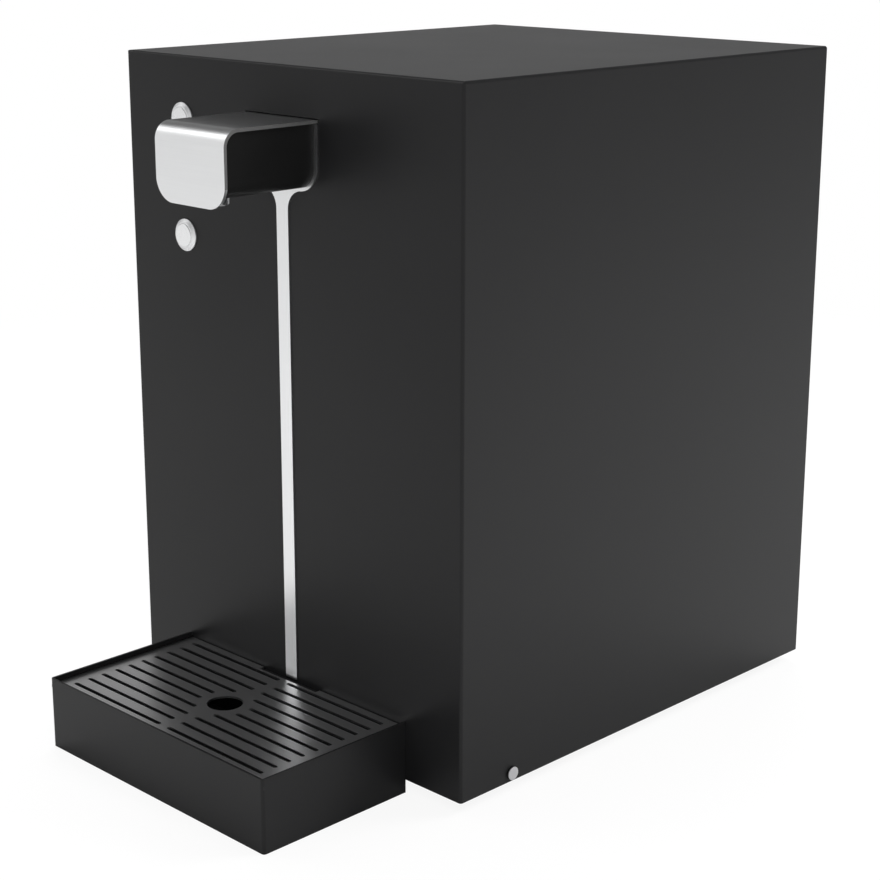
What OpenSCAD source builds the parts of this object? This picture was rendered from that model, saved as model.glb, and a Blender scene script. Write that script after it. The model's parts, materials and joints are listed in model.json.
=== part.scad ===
// Countertop sparkling water dispenser: black folded cabinet, steel spout, two push buttons, drip tray.
// Millimetres. Drawn with x across, y from the front panel to the back and z up from the worktop.

/* [Cabinet] */
// Width of the cabinet
cabinet_w = 300; // [296:1:340]
// Depth of the cabinet
cabinet_d = 342; // [338:1:400]
// Height of the cabinet without its feet
cabinet_h = 422.8; // [418:0.2:480]
// Thickness of the folded cover sheet
cover_t = 1.2; // [0.8:0.1:2]
// Outside radius of the cover's bends
bend_r = 1.8; // [1.5:0.1:4]
// Width of the cover's folded rear flanges
flange_w = 12; // [10:1:16]
// Thickness of the rear panel
rear_t = 1.5; // [1:0.1:2]
// Thickness of the base pan
pan_t = 1.5; // [1:0.1:2]
// Height of the pan's folded rim
pan_rim_h = 22; // [18:1:30]
// Height of the feet
foot_h = 8.2; // [8:0.1:14]
// Radius of a foot where it stands
foot_r = 13; // [11:0.5:16]

/* [Spout] */
// Width of the steel spout sheet
spout_w = 63; // [58:0.2:76]
// Reach of the spout in front of the panel
spout_reach = 69.5; // [66:0.5:90]
// Distance from the cabinet's top down to the spout's top
spout_drop = 30.1; // [24:0.1:40]
// Thickness of the spout sheet
spout_t = 2; // [1.5:0.1:2.5]
// Outside radius of the spout's bend
spout_bend_r = 10.5; // [8:0.5:14]
// Height of the apron from its lower edge to the spout's top
apron_h = 46; // [44:0.5:60]
// Radius of the apron's lower corners
apron_corner_r = 15; // [8:0.5:20]
// Length of the sheet's tail inside the cabinet
spout_tail = 24; // [18:1:34]
// Height of the black housing under the sheet
housing_h = 38.9; // [37:0.1:42]
// Step from the sheet's edge in to the housing's side
housing_inset = 2.2; // [1:0.1:4]
// Wall of the housing
housing_wall = 2; // [1.5:0.1:2.5]
// Radius of the nozzle
nozzle_r = 11.2; // [9:0.1:13]
// Distance of the nozzle in front of the panel
nozzle_y = 55.2; // [50:0.1:56]
// Width of the strip down the front
strip_w = 10.4; // [8:0.1:16]
// Thickness of the strip and its plate
strip_t = 0.8; // [0.5:0.1:1.2]
// Height of the plate behind the spout
plate_h = 41; // [40:0.5:50]
// Radius of the fillets between plate and strip
strip_fillet_r = 12.5; // [6:0.5:16]

/* [Buttons] */
// Distance of the buttons left of the middle
button_x = 94.6; // [80:0.1:110]
// Distance from the cabinet's top down to the upper button
button_drop = 39.5; // [30:0.1:50]
// Distance between the two buttons
button_pitch = 73.4; // [60:0.1:80]
// Radius of a button's bezel
bezel_r = 10.3; // [10.2:0.1:13]
// Height of a bezel in front of the panel
bezel_h = 2.2; // [1.5:0.1:3]
// Radius of a button's cap
cap_r = 7.1; // [6:0.1:7.5]
// Travel of a button
button_travel = 2; // [1:0.1:2.4]

/* [Drip tray] */
// Width of the tray
tray_w = 207.6; // [190:0.2:220]
// Reach of the tray in front of the panel
tray_reach = 112.8; // [108:0.2:130]
// Height of the tray
tray_h = 46.4; // [40:0.1:55]
// Thickness of the tray's sheet
tray_t = 1.5; // [1:0.1:2]
// Depth of the grille below the tray's rim
grille_drop = 3; // [2:0.1:6]
// Thickness of the grille
grille_t = 1.5; // [1:0.1:2]
// Number of slot rows
slot_rows = 10; // [6:1:10]
// Distance between slot rows
slot_pitch = 10.5; // [8:0.1:10.8]
// Width of a slot
slot_w = 3; // [2:0.1:4]
// Radius of the hole under the nozzle
drain_r = 11.25; // [8:0.25:14]
// Width of the notch behind the grille
notch_w = 54; // [40:1:70]

/* [Cooling] */
// Width and depth of the tank's insulation
tank_w = 170; // [164:1:180]
// Height of the insulation
tank_h = 240; // [220:1:246]
// Outside radius of the cold tank
tank_r = 72; // [70:0.5:76]
// Radius of the carbonator
carbonator_r = 28; // [24:0.5:30]
// Radius of the compressor's shell
compressor_r = 59; // [50:1:60]
// Height of the compressor's straight wall
compressor_h = 96; // [70:1:105]
// Radius of the fan
fan_r = 64; // [50:1:68]
// Width and height of the condenser
condenser_w = 160; // [150:1:164]
// Depth of the condenser
condenser_d = 36; // [26:1:40]
// Number of condenser fins
fin_count = 18; // [10:1:24]

/* [Services] */
// Outside radius of the water inlet's thread
water_inlet_r = 13.2; // [10:0.1:14]
// Outside radius of the gas inlet's thread
gas_inlet_r = 5.55; // [4.5:0.05:8]
// Length of the threads behind the cabinet
inlet_len = 16; // [12:1:20]
// Radius of the pump's motor
pump_r = 42; // [36:1:44]
// Swing of the power rocker from one side to the other
rocker_swing = 24; // [16:1:30]

/* [Hidden] */
$fn = 64;
// Every piece's name

// Clearances: seated pieces of one body, sliding pieces, and screws in their holes
seat_gap = 0.2;
slide_gap = 0.4;
hole_gap = 0.2;
shaft_gap = 0.05;

// Cabinet levels
cab_z = foot_h;
cab_top = foot_h + cabinet_h;
floor_z = cab_z + pan_t;
inner_x = cabinet_w / 2 - cover_t;
inner_bend_r = max(bend_r - cover_t, 0.2);
rear_in = cabinet_d - rear_t;
pan_front_gap = 1.4;

// Frame: the middle of the whole unit's footprint is the origin
inlet_flange_t = 4;
rear_out = cabinet_d + inlet_flange_t + inlet_len;
origin_y = (rear_out - tray_reach) / 2;

// Cover and rear fasteners
cover_screw_y = 44.1;
cover_screw_z = 5.5;
cover_screw_r = 4.2;
cover_head_t = 0.6;
washer_t = 1;
cover_shank_r = 1.5;
cover_shank_len = 8;
rear_screw_r = 3.5;
rear_head_t = 2;
rear_shank_r = 1.6;
rear_shank_len = 6;
rear_screw_inset = 6;
recess_share = 0.6;
recess_w = 1;

// Vents in the rear panel and in the pan under the compressor
vent_rows = 5;
vent_columns = 6;
vent_x = -inner_x + 20.8;
vent_low = cab_z + 45;
vent_step_x = 18;
vent_step_z = 22;
vent_w = 5;
vent_h = 14;
pan_vents = 8;
pan_vent_x = -110;
pan_vent_y = cabinet_d - 150;
pan_vent_step = 12;
pan_vent_w = 4;
pan_vent_len = 60;

// Feet
foot_x = cabinet_w / 2 - 44;
foot_front_y = 40;
foot_rear_y = cabinet_d - 18;
foot_flare = 3;
foot_recess_r = 6.5;
foot_recess_h = 4.5;
foot_shank_r = 2.4;
foot_shank_len = foot_h - foot_recess_h + 9;
foot_head_r = 5;
foot_head_t = 2.5;
nut_t = 4;

// Spout levels
sheet_top = cab_top - spout_drop;
sheet_low = sheet_top - spout_t;
apron_low = sheet_top - apron_h;
housing_low = sheet_low - housing_h;
housing_w = spout_w - 2 * housing_inset;
housing_corner_r = apron_corner_r - housing_inset;
housing_front = spout_reach - spout_t - seat_gap;
plate_low = sheet_low - plate_h;
slot_gap = 0.6;
slot_end_gap = 1.4;
nozzle_drop = 5.6;
nozzle_low = housing_low - nozzle_drop;
nozzle_nut_t = 2.5;
nozzle_nut_w = 1.7;
nozzle_wall = 2.6;
nozzle_neck_r = 7.8;
nozzle_neck_h = 2;
nozzle_top_t = 1.2;
neck_top = housing_low + housing_wall + nozzle_nut_t + nozzle_neck_h;
insert_t = 3;
hose_r = 5;
hose_wall = 1.5;
hose_bend_r = 13;
hose_z = neck_top + hose_bend_r + 5;

// Spout bracket and valve block behind the panel
bracket_t = 2;
bracket_w = 84;
bracket_shelf = 42;
valve_w = 70;
valve_d = 45;
valve_h = 30;
valve_y = cover_t + bracket_t + 26;
valve_low = hose_z - valve_h / 2;
valve_port_x = 18;
valve_line_drop = 42;
valve_port_y = valve_y + valve_d - 13;
coil_r = 14;
coil_len = 38;
spout_screw_x = 22;
spout_screw_r = 3.5;
spout_shank_r = 1.6;
spout_screw_y = cover_t + bracket_t + 10;
housing_screw_x = 21;
housing_screw_z = housing_low + 14;
housing_boss_r = 4;
housing_boss_len = 12;

// Buttons, measured along their axis from the panel's face
upper_z = cab_top - button_drop;
lower_z = upper_z - button_pitch;
cap_gap = 0.3;
bezel_bore_r = cap_r + cap_gap;
bezel_flat = 1;
bezel_edge_t = 0.7;
barrel_r = 9.4;
barrel_len = 24;
barrel_wall_t = 2;
stem_r = 2.9;
cap_proud = 0.3;
cap_t = 5.5;
cap_chamfer = 0.4;
spring_len = 11;
spring_gap = 0.3;
spring_r = 4.8;
spring_wire_r = 0.5;
spring_turns = 5;
cap_back = cap_t - bezel_h - cap_proud;
wall_at = cap_back + spring_len;
stem_end = wall_at + barrel_wall_t + 1;
nut_r = 13.4;
button_nut_t = 4;
switch_r = 9.2;
switch_len = 16;
plunger_r = 2.2;
terminal_len = 8;

// Drip tray
tray_low = 0;
tray_top = tray_low + tray_h;
tray_corner_r = 2;
tray_back = slide_gap;
grille_top = tray_top - grille_drop;
grille_low = grille_top - grille_t;
grille_gap = 0.5;
grille_w = tray_w - 2 * tray_t - 2 * grille_gap;
grille_front = tray_reach - tray_t - grille_gap;
grille_back = tray_back + slide_gap;
ledge_w = 6;
ledge_t = 2;
slot_end = grille_w / 2 - 10;
slot_rib = 3.7;
slot_first = tray_reach - 10.4;
drain_ring = 6.85;
notch_d = 3.6;
strip_low = grille_top + 0.4;

// Fan and condenser, centred on the rear panel's fan opening
fan_side_gap = 1.8;
fan_drop = 137;
fan_z = cab_top - fan_drop;
shroud_w = condenser_w + 4;
fan_x = -inner_x + flange_w + fan_side_gap + shroud_w / 2;
shroud_t = 1.5;
shroud_d = 40;
shroud_gap = 2;
shroud_ring = 30;
fan_hub_r = 17;
fan_hub_t = 16;
fan_blade_n = 5;
fan_blade_t = 1.6;
fan_blade_chord = 34;
fan_blade_pitch = 24;
fan_shaft_r = 3;
fan_shaft_len = 10;
fan_motor_r = 22;
fan_motor_len = 16;
fan_arm_t = 3;
fan_back = rear_in - 4;
fan_motor_front = fan_back - fan_motor_len;
hub_gap = 1;
guard_wire = 2.4;
guard_t = 2;
guard_rings = 5;
guard_step = 13;
fin_t = 0.5;
fin_first = 8;
tube_r = 4;
tube_wall = 0.8;
tube_count = 6;
tube_step = 18;
tube_over = 14;
condenser_back = rear_in - shroud_d;
condenser_y = condenser_back - condenser_d / 2;
condenser_low = fan_z - condenser_w / 2;
condenser_high = fan_z + condenser_w / 2;
tube_first_x = fan_x - (tube_count - 1) * tube_step / 2;
tube_last_x = fan_x + (tube_count - 1) * tube_step / 2;

// Compressor
compressor_x = -72;
compressor_y = cabinet_d - 72;
grommet_h = 9;
grommet_r = 9;
grommet_bore_r = 4;
compressor_base_t = 3;
compressor_leg = 40;
compressor_low = floor_z + grommet_h;
dome_h = 30;
compressor_port_z = compressor_low + compressor_base_t + compressor_h + dome_h + 6;

// Cold tank
tank_x = 46;
tank_y = 133;
tank_base_t = 14;
tank_wall = 1.2;
tank_high = floor_z + tank_h;
lid_t = 6;
lid_top = tank_high + lid_t;
port_h = 6;
still_port_shift = 20;
port_wall = 1.5;
port_top = lid_top + port_h;
evaporator_wire_r = 4;
evaporator_gap = 0.4;
evaporator_r = tank_r - tank_wall - evaporator_gap - evaporator_wire_r;
evaporator_turns = 9;
evaporator_pitch = 18;
evaporator_low = floor_z + tank_base_t + tank_wall + evaporator_gap + evaporator_wire_r;
carbonator_x = valve_port_x;
carbonator_len = 170;
carbonator_cap_h = 10;
carbonator_rim = 1.5;
carbonator_wall = 1.5;
carbonator_top = lid_top + carbonator_cap_h;
agitator_x = 84;
agitator_shaft_r = 4;
agitator_len = 150;
agitator_hub_r = 7;
impeller_r = 18;
impeller_h = 16;
impeller_t = 2;
agitator_motor_r = 24;
agitator_motor_h = 38;
agitator_seat = 12;
line_r = 4;
line_wall = 1;
gas_line_r = 3;
line_bend_r = 9;

// Pump
pump_x0 = 32;
pump_len = 95;
pump_head_r = 28;
pump_head_len = 40;
pump_y = cabinet_d - 62;
pump_lift = 9;
pump_z = floor_z + pump_lift + pump_r;
pump_port_r = 6;
pump_port_len = 10;
cradle_len = 70;
cradle_w = 60;
cradle_cover = 8;

// Rear services
service_x = 95;
electric_gap = 11;
electric_x = fan_x + shroud_w / 2 + electric_gap;
water_z = cab_z + 150;
gas_z = cab_z + 200;
inlet_step = 0.6;
inlet_flange_w = 3;
inlet_inner = 14;
inlet_wall = 3.2;
inlet_mouth = 11;
mains_w = 28;
mains_h = 20;
mains_lip = 5;
mains_depth = 22;
mains_pin_w = 4;
mains_wall = 2;
rocker_w = 13;
rocker_h = 19;
rocker_depth = 22;
rocker_gap = 0.4;
switch_w = rocker_w + 2 * mains_wall;
switch_h = rocker_h + 2 * mains_wall;
rocker_pin_r = 1.5;
rocker_pin_y = 4;

// Electronics
supply_w = 70;
supply_d = 110;
supply_h = 60;
supply_gap = 14;
supply_wall = 1.5;
supply_x = -inner_x + supply_gap + supply_w / 2;
supply_y = 108;
board_t = 1.6;
board_d = 120;
board_h = 110;
board_y = 130;
board_drop = 122;
board_z = cab_top - board_drop;
standoff_h = 8;
standoff_r = 3.5;
standoff_inset = 8;

// Places the drawing so that the origin is under the middle of the unit
module place() {
    translate([0, -origin_y, 0])
        children();
}

// Turns a solid drawn along z so that it points into the cabinet
module inward() {
    rotate([-90, 0, 0])
        children();
}

// Outline with two rounded lower corners, standing on low, x centred
module rounded_low(w, low, high, r) {
    translate([-w / 2, low + r])
        square([w, high - low - r]);
    translate([-w / 2 + r, low])
        square([w - 2 * r, r]);
    for (side = [-1, 1])
        translate([side * (w / 2 - r), low + r])
            circle(r);
}

// The same outline with rounded upper corners instead
module rounded_high(w, low, high, r) {
    mirror([0, 1])
        rounded_low(w, -high, -low, r);
}

// Solid of an upright front outline, from y0 to y1
module front_solid(y0, y1) {
    translate([0, y1, 0])
        rotate([90, 0, 0])
            linear_extrude(y1 - y0)
                children();
}

// Solid of a side outline drawn in y and z, w wide about the middle
module side_solid(w) {
    translate([-w / 2, 0, 0])
        rotate([90, 0, 90])
            linear_extrude(w)
                children();
}

// Round bar or hole along y
module bar_y(r, y0, y1) {
    translate([0, y0, 0])
        rotate([-90, 0, 0])
            cylinder(r = r, h = y1 - y0);
}

// Ring along z
module ring(r_out, r_in, h) {
    linear_extrude(h)
        difference() {
            circle(r_out);
            circle(r_in);
        }
}

// Screw with a round head, plain or with a cross, its seat at the origin and its shank along -z
module screw(head_r, head_t, shank_r, shank_len, crossed = true) {
    reach = recess_share * head_r;
    difference() {
        cylinder(r = head_r, h = head_t);
        if (crossed)
            for (a = [0, 90])
                rotate(a)
                    translate([-reach, -recess_w / 2, head_t / 2])
                        cube([2 * reach, recess_w, head_t]);
    }
    translate([0, 0, -shank_len])
        cylinder(r = shank_r, h = shank_len);
}

// Tube along points with square turns, each turn rounded with bend
module tube_path(points, r, wall, bend) {
    last = len(points) - 1;
    for (i = [0 : last - 1]) {
        step = points[i + 1] - points[i];
        way = step / norm(step);
        start = points[i] + (i == 0 ? 0 : bend) * way;
        run = norm(step) - (i == 0 ? 0 : bend) - (i == last - 1 ? 0 : bend);
        side = way.x == 0 ? [1, 0, 0] : [0, 1, 0];
        up = cross(way, side);
        multmatrix([[side.x, up.x, way.x, start.x], [side.y, up.y, way.y, start.y],
                    [side.z, up.z, way.z, start.z], [0, 0, 0, 1]])
            ring(r, r - wall, run);
    }
    for (i = [1 : last - 1]) {
        before = (points[i] - points[i - 1]) / norm(points[i] - points[i - 1]);
        after = (points[i + 1] - points[i]) / norm(points[i + 1] - points[i]);
        middle = points[i] - bend * before + bend * after;
        axis = cross(before, after);
        multmatrix([[-after.x, before.x, axis.x, middle.x], [-after.y, before.y, axis.y, middle.y],
                    [-after.z, before.z, axis.z, middle.z], [0, 0, 0, 1]])
            rotate_extrude(angle = 90)
                translate([bend, 0])
                    difference() {
                        circle(r);
                        circle(r - wall);
                    }
    }
}

// Coil of wire round z: rings of points along a helix, closed at both ends
module coil(r, pitch, turns, wire_r, sides, steps) {
    n = turns * steps;
    function ring_point(i, k) =
        let (t = 360 * i / steps, p = 360 * k / sides, reach = r + wire_r * cos(p))
        [reach * cos(t), reach * sin(t), pitch * i / steps + wire_r * sin(p)];
    points = [for (i = [0 : n]) for (k = [0 : sides - 1]) ring_point(i, k)];
    skin = [for (i = [0 : n - 1]) for (k = [0 : sides - 1]) for (half = [0, 1])
        let (a = i * sides + k, b = i * sides + (k + 1) % sides)
        half == 0 ? [a, a + sides, b] : [b, a + sides, b + sides]];
    first_end = [for (k = [1 : sides - 2]) [0, k, k + 1]];
    last_end = [for (k = [1 : sides - 2]) [n * sides, n * sides + k + 1, n * sides + k]];
    polyhedron(points, concat(skin, first_end, last_end));
}

// Full block of the folded cover, drawn in by inset, with rounded front and top edges
module cover_block(inset, low, back, r) {
    half = cabinet_w / 2 - inset;
    high = cab_top - inset;
    intersection() {
        translate([0, 0, low])
            linear_extrude(high - low) {
                translate([-half, inset + r])
                    square([2 * half, back - inset - r]);
                translate([-half + r, inset])
                    square([2 * (half - r), r]);
                for (side = [-1, 1])
                    translate([side * (half - r), inset + r])
                        circle(r);
            }
        side_solid(cabinet_w) {
            translate([inset + r, low])
                square([back - inset - r, high - low]);
            translate([inset, low])
                square([r, high - low - r]);
            translate([inset + r, high - r])
                circle(r);
        }
        front_solid(inset, back)
            rounded_high(2 * half, low, high, r);
    }
}

// Places of the rear panel's screws, as x and z
function rear_screw_places() =
    let (x = inner_x - rear_screw_inset, low = cab_z + pan_rim_h - 8, middle = cab_z + cabinet_h / 2)
    let (high = cab_top - cover_t - rear_screw_inset)
    [[-x + 20, low], [x - 20, low], [-x, middle], [x, middle], [-x + 40, high], [x - 40, high]];

// Places of the four feet
function foot_places() =
    [for (x = [-foot_x, foot_x]) for (y = [foot_front_y, foot_rear_y]) [x, y]];

// Places of the compressor's rubber mounts
function grommet_places() =
    [for (x = [-compressor_leg, compressor_leg]) for (y = [-compressor_leg, compressor_leg])
        [compressor_x + x, compressor_y + y]];

// Ends of the tubes on the tank's lid and on the compressor, as x and y
function still_port() = [-valve_port_x, tank_y - still_port_shift];
function liquid_port() = [tube_last_x, tank_y + 37];
function suction_port() = [tank_x - 64, tank_y + 27];
function compressor_outlet() = [tube_first_x, condenser_y];
function compressor_return() = [compressor_x + 12, compressor_y - 22];

module base_pan() {
    wide = 2 * (inner_x - seat_gap);
    front = cover_t + pan_front_gap;
    color("dimgray")
        difference() {
            translate([-wide / 2, front, cab_z])
                cube([wide, rear_in - front, pan_rim_h]);
            translate([-wide / 2 + pan_t, front + pan_t, floor_z])
                cube([wide - 2 * pan_t, rear_in - front - 2 * pan_t, pan_rim_h]);
            for (p = foot_places())
                translate([p.x, p.y, cab_z - 1])
                    cylinder(r = foot_shank_r + hole_gap, h = pan_t + 2);
            for (side = [-1, 1])
                translate([side * wide / 2 - 5, cover_screw_y, cab_z + cover_screw_z])
                    rotate([0, 90, 0])
                        cylinder(r = cover_shank_r + hole_gap, h = 10);
            for (i = [0, 1])
                translate([rear_screw_places()[i].x, 0, rear_screw_places()[i].y])
                    bar_y(rear_shank_r + hole_gap, rear_in - pan_t - 1, rear_in + 1);
            for (i = [0 : pan_vents - 1])
                translate([pan_vent_x + i * pan_vent_step, pan_vent_y, cab_z - 1])
                    cube([pan_vent_w, pan_vent_len, pan_t + 2]);
        }
}

module outer_cover() {
    flange_y = rear_in - cover_t;
    flange_h = cabinet_h - pan_rim_h - cover_t - 4;
    flange_middle = cab_z + pan_rim_h + 2 + flange_h / 2;
    color([0.13, 0.13, 0.135])
        difference() {
            union() {
                difference() {
                    cover_block(0, cab_z, cabinet_d, bend_r);
                    cover_block(cover_t, cab_z - 1, cabinet_d + 1, inner_bend_r);
                }
                for (side = [-1, 1])
                    translate([side * (inner_x - flange_w / 2), flange_y + cover_t / 2, flange_middle])
                        cube([flange_w, cover_t, flange_h], center = true);
                translate([-inner_x + flange_w + 4, flange_y, cab_top - cover_t - flange_w])
                    cube([2 * (inner_x - flange_w - 4), cover_t, flange_w]);
            }
            for (z = [lower_z, upper_z])
                translate([-button_x, 0, z])
                    bar_y(barrel_r + hole_gap, -1, cover_t + 1);
            translate([-spout_w / 2 - slot_end_gap, -1, sheet_low - seat_gap])
                cube([spout_w + 2 * slot_end_gap, cover_t + 2, spout_t + seat_gap + slot_gap]);
            translate([0, 0, hose_z])
                bar_y(hose_r + hole_gap, -1, cover_t + 1);
            for (side = [-1, 1])
                translate([side * housing_screw_x, 0, housing_screw_z])
                    bar_y(spout_shank_r + hole_gap, -1, cover_t + 1);
            for (side = [-1, 1])
                translate([side * cabinet_w / 2 - 5, cover_screw_y, cab_z + cover_screw_z])
                    rotate([0, 90, 0])
                        cylinder(r = cover_shank_r + hole_gap, h = 10);
            for (i = [2 : 5])
                translate([rear_screw_places()[i].x, 0, rear_screw_places()[i].y])
                    bar_y(rear_shank_r + hole_gap, rear_in - cover_t - 1, rear_in + 1);
        }
}

module rear_panel() {
    wide = 2 * (inner_x - seat_gap);
    color([0.16, 0.16, 0.165])
        difference() {
            front_solid(rear_in, cabinet_d)
                rounded_high(wide, cab_z, cab_top - cover_t - seat_gap, inner_bend_r);
            translate([fan_x, 0, fan_z])
                bar_y(fan_r + shroud_gap + 4, rear_in - 1, cabinet_d + 1);
            translate([service_x, 0, water_z])
                bar_y(water_inlet_r + hole_gap, rear_in - 1, cabinet_d + 1);
            translate([service_x, 0, gas_z])
                bar_y(gas_inlet_r + hole_gap, rear_in - 1, cabinet_d + 1);
            translate([electric_x - mains_w / 2 - seat_gap, rear_in - 1, water_z - mains_h / 2 - seat_gap])
                cube([mains_w + 2 * seat_gap, rear_t + 2, mains_h + 2 * seat_gap]);
            translate([electric_x - switch_w / 2 - seat_gap, rear_in - 1, gas_z - switch_h / 2 - seat_gap])
                cube([switch_w + 2 * seat_gap, rear_t + 2, switch_h + 2 * seat_gap]);
            for (row = [0 : vent_rows - 1])
                for (column = [0 : vent_columns - 1])
                    translate([vent_x + column * vent_step_x, rear_in - 1, vent_low + row * vent_step_z])
                        cube([vent_w, rear_t + 2, vent_h]);
            for (p = rear_screw_places())
                translate([p.x, 0, p.y])
                    bar_y(rear_shank_r + hole_gap, rear_in - 1, cabinet_d + 1);
        }
}

module cover_screws() {
    color("silver")
        for (side = [-1, 1])
            translate([side * (cabinet_w / 2 + washer_t), cover_screw_y, cab_z + cover_screw_z])
                rotate([0, side * 90, 0])
                    screw(cover_screw_r, cover_head_t, cover_shank_r, cover_shank_len, false);
}

module cover_washers() {
    color([0.05, 0.05, 0.05])
        for (side = [-1, 1])
            translate([side * cabinet_w / 2, cover_screw_y, cab_z + cover_screw_z])
                rotate([0, side * 90, 0])
                    ring(cover_screw_r, cover_shank_r + hole_gap, washer_t);
}

module rear_screws() {
    color("dimgray")
        for (p = rear_screw_places())
            translate([p.x, cabinet_d, p.y])
                inward()
                    screw(rear_screw_r, rear_head_t, rear_shank_r, rear_shank_len);
}

module feet() {
    color([0.1, 0.1, 0.1])
        for (p = foot_places())
            translate([p.x, p.y, 0])
                rotate_extrude()
                    polygon([[foot_recess_r, 0], [foot_r, 0], [foot_r + foot_flare, foot_h],
                             [foot_shank_r + hole_gap, foot_h], [foot_shank_r + hole_gap, foot_recess_h],
                             [foot_recess_r, foot_recess_h]]);
}

module foot_screws() {
    color("silver")
        for (p = foot_places())
            translate([p.x, p.y, 0]) {
                translate([0, 0, foot_recess_h])
                    rotate([180, 0, 0])
                        screw(foot_head_r, foot_head_t, foot_shank_r, foot_shank_len);
                translate([0, 0, floor_z])
                    difference() {
                        cylinder(r = 2 * foot_shank_r, h = nut_t, $fn = 6);
                        translate([0, 0, -1])
                            cylinder(r = foot_shank_r + hole_gap, h = nut_t + 2);
                    }
            }
}

module spout_cover() {
    inner_r = spout_bend_r - spout_t;
    bend_y = -spout_reach + spout_bend_r;
    bend_z = sheet_top - spout_bend_r;
    color([0.85, 0.86, 0.87])
        difference() {
            intersection() {
                side_solid(spout_w) {
                    translate([bend_y, sheet_low])
                        square([spout_tail + cover_t - bend_y, spout_t]);
                    translate([-spout_reach, apron_low])
                        square([spout_t, bend_z - apron_low]);
                    translate([bend_y, bend_z])
                        intersection() {
                            difference() {
                                circle(spout_bend_r);
                                circle(inner_r);
                            }
                            translate([-spout_bend_r, 0])
                                square(spout_bend_r);
                        }
                }
                front_solid(-spout_reach - 1, spout_tail + cover_t + 1)
                    rounded_low(spout_w, apron_low, sheet_top + 1, apron_corner_r);
            }
            for (side = [-1, 1])
                translate([side * spout_screw_x, spout_screw_y, sheet_low - 1])
                    cylinder(r = spout_shank_r + hole_gap, h = spout_t + 2);
        }
}

module back_strip() {
    color([0.85, 0.86, 0.87])
        difference() {
            front_solid(-strip_t, 0) {
                rounded_low(spout_w, plate_low, sheet_low - seat_gap, apron_corner_r);
                translate([-strip_w / 2, strip_low])
                    square([strip_w, plate_low - strip_low + 1]);
                for (side = [0, 1])
                    mirror([side, 0])
                        translate([strip_w / 2, plate_low - strip_fillet_r])
                            difference() {
                                square(strip_fillet_r);
                                translate([strip_fillet_r, 0])
                                    circle(strip_fillet_r);
                            }
            }
            translate([0, 0, hose_z])
                bar_y(hose_r + hole_gap, -strip_t - 1, 1);
            for (side = [-1, 1])
                translate([side * housing_screw_x, 0, housing_screw_z])
                    bar_y(spout_shank_r + hole_gap, -strip_t - 1, 1);
        }
}

// Outside or inside block of the spout housing, drawn in by wall
module housing_block(wall, back) {
    r = spout_bend_r - spout_t + seat_gap;
    front = -housing_front + wall;
    high = sheet_low - seat_gap - wall;
    round_r = r - wall;
    intersection() {
        front_solid(front, back)
            rounded_low(housing_w - 2 * wall, housing_low + wall, high, housing_corner_r - wall);
        side_solid(housing_w) {
            translate([front + round_r, housing_low])
                square([back - front - round_r, high - housing_low]);
            translate([front, housing_low])
                square([round_r, high - housing_low - round_r]);
            translate([front + round_r, high - round_r])
                circle(round_r);
        }
    }
}

module spout_housing() {
    color([0.07, 0.07, 0.07])
        difference() {
            union() {
                difference() {
                    housing_block(0, -strip_t);
                    housing_block(housing_wall, -strip_t + 1);
                }
                intersection() {
                    for (side = [-1, 1])
                        translate([side * housing_screw_x, 0, housing_screw_z]) {
                            bar_y(housing_boss_r, -strip_t - housing_boss_len, -strip_t);
                            mirror([side > 0 ? 0 : 1, 0, 0])
                                translate([0, -strip_t - housing_boss_len, -housing_wall / 2])
                                    cube([housing_w / 2 - housing_screw_x, housing_boss_len, housing_wall]);
                        }
                    housing_block(0, -strip_t);
                }
            }
            translate([0, -nozzle_y, housing_low - 1])
                cylinder(r = nozzle_neck_r + hole_gap, h = housing_wall + 2);
            for (side = [-1, 1])
                translate([side * housing_screw_x, 0, housing_screw_z])
                    bar_y(spout_shank_r + hole_gap, -strip_t - housing_boss_len + 3, 1);
        }
}

module spout_nozzle() {
    edge = 0.6;
    bore = nozzle_r - nozzle_wall;
    color("silver")
        translate([0, -nozzle_y, 0])
            rotate_extrude()
                polygon([[bore, nozzle_low], [nozzle_r - edge, nozzle_low], [nozzle_r, nozzle_low + edge],
                         [nozzle_r, housing_low], [nozzle_neck_r, housing_low], [nozzle_neck_r, neck_top],
                         [hose_r - hose_wall, neck_top], [hose_r - hose_wall, housing_low - nozzle_top_t],
                         [bore, housing_low - nozzle_top_t]]);
}

module nozzle_nut() {
    color("silver")
        translate([0, -nozzle_y, housing_low + housing_wall])
            ring(nozzle_neck_r + nozzle_nut_w, nozzle_neck_r + hole_gap, nozzle_nut_t);
}

module nozzle_insert() {
    hole_r = 1.4;
    hole_ring = 5;
    color([0.2, 0.2, 0.2])
        translate([0, -nozzle_y, nozzle_low + 0.8])
            linear_extrude(insert_t)
                difference() {
                    circle(nozzle_r - nozzle_wall - seat_gap);
                    circle(hole_r);
                    for (i = [0 : 5])
                        rotate(60 * i)
                            translate([hole_ring, 0])
                                circle(hole_r);
                }
}

module outlet_hose() {
    color([0.92, 0.92, 0.9])
        tube_path([[0, -nozzle_y, neck_top], [0, -nozzle_y, hose_z], [0, valve_y, hose_z]],
                  hose_r, hose_wall, hose_bend_r);
}

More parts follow.
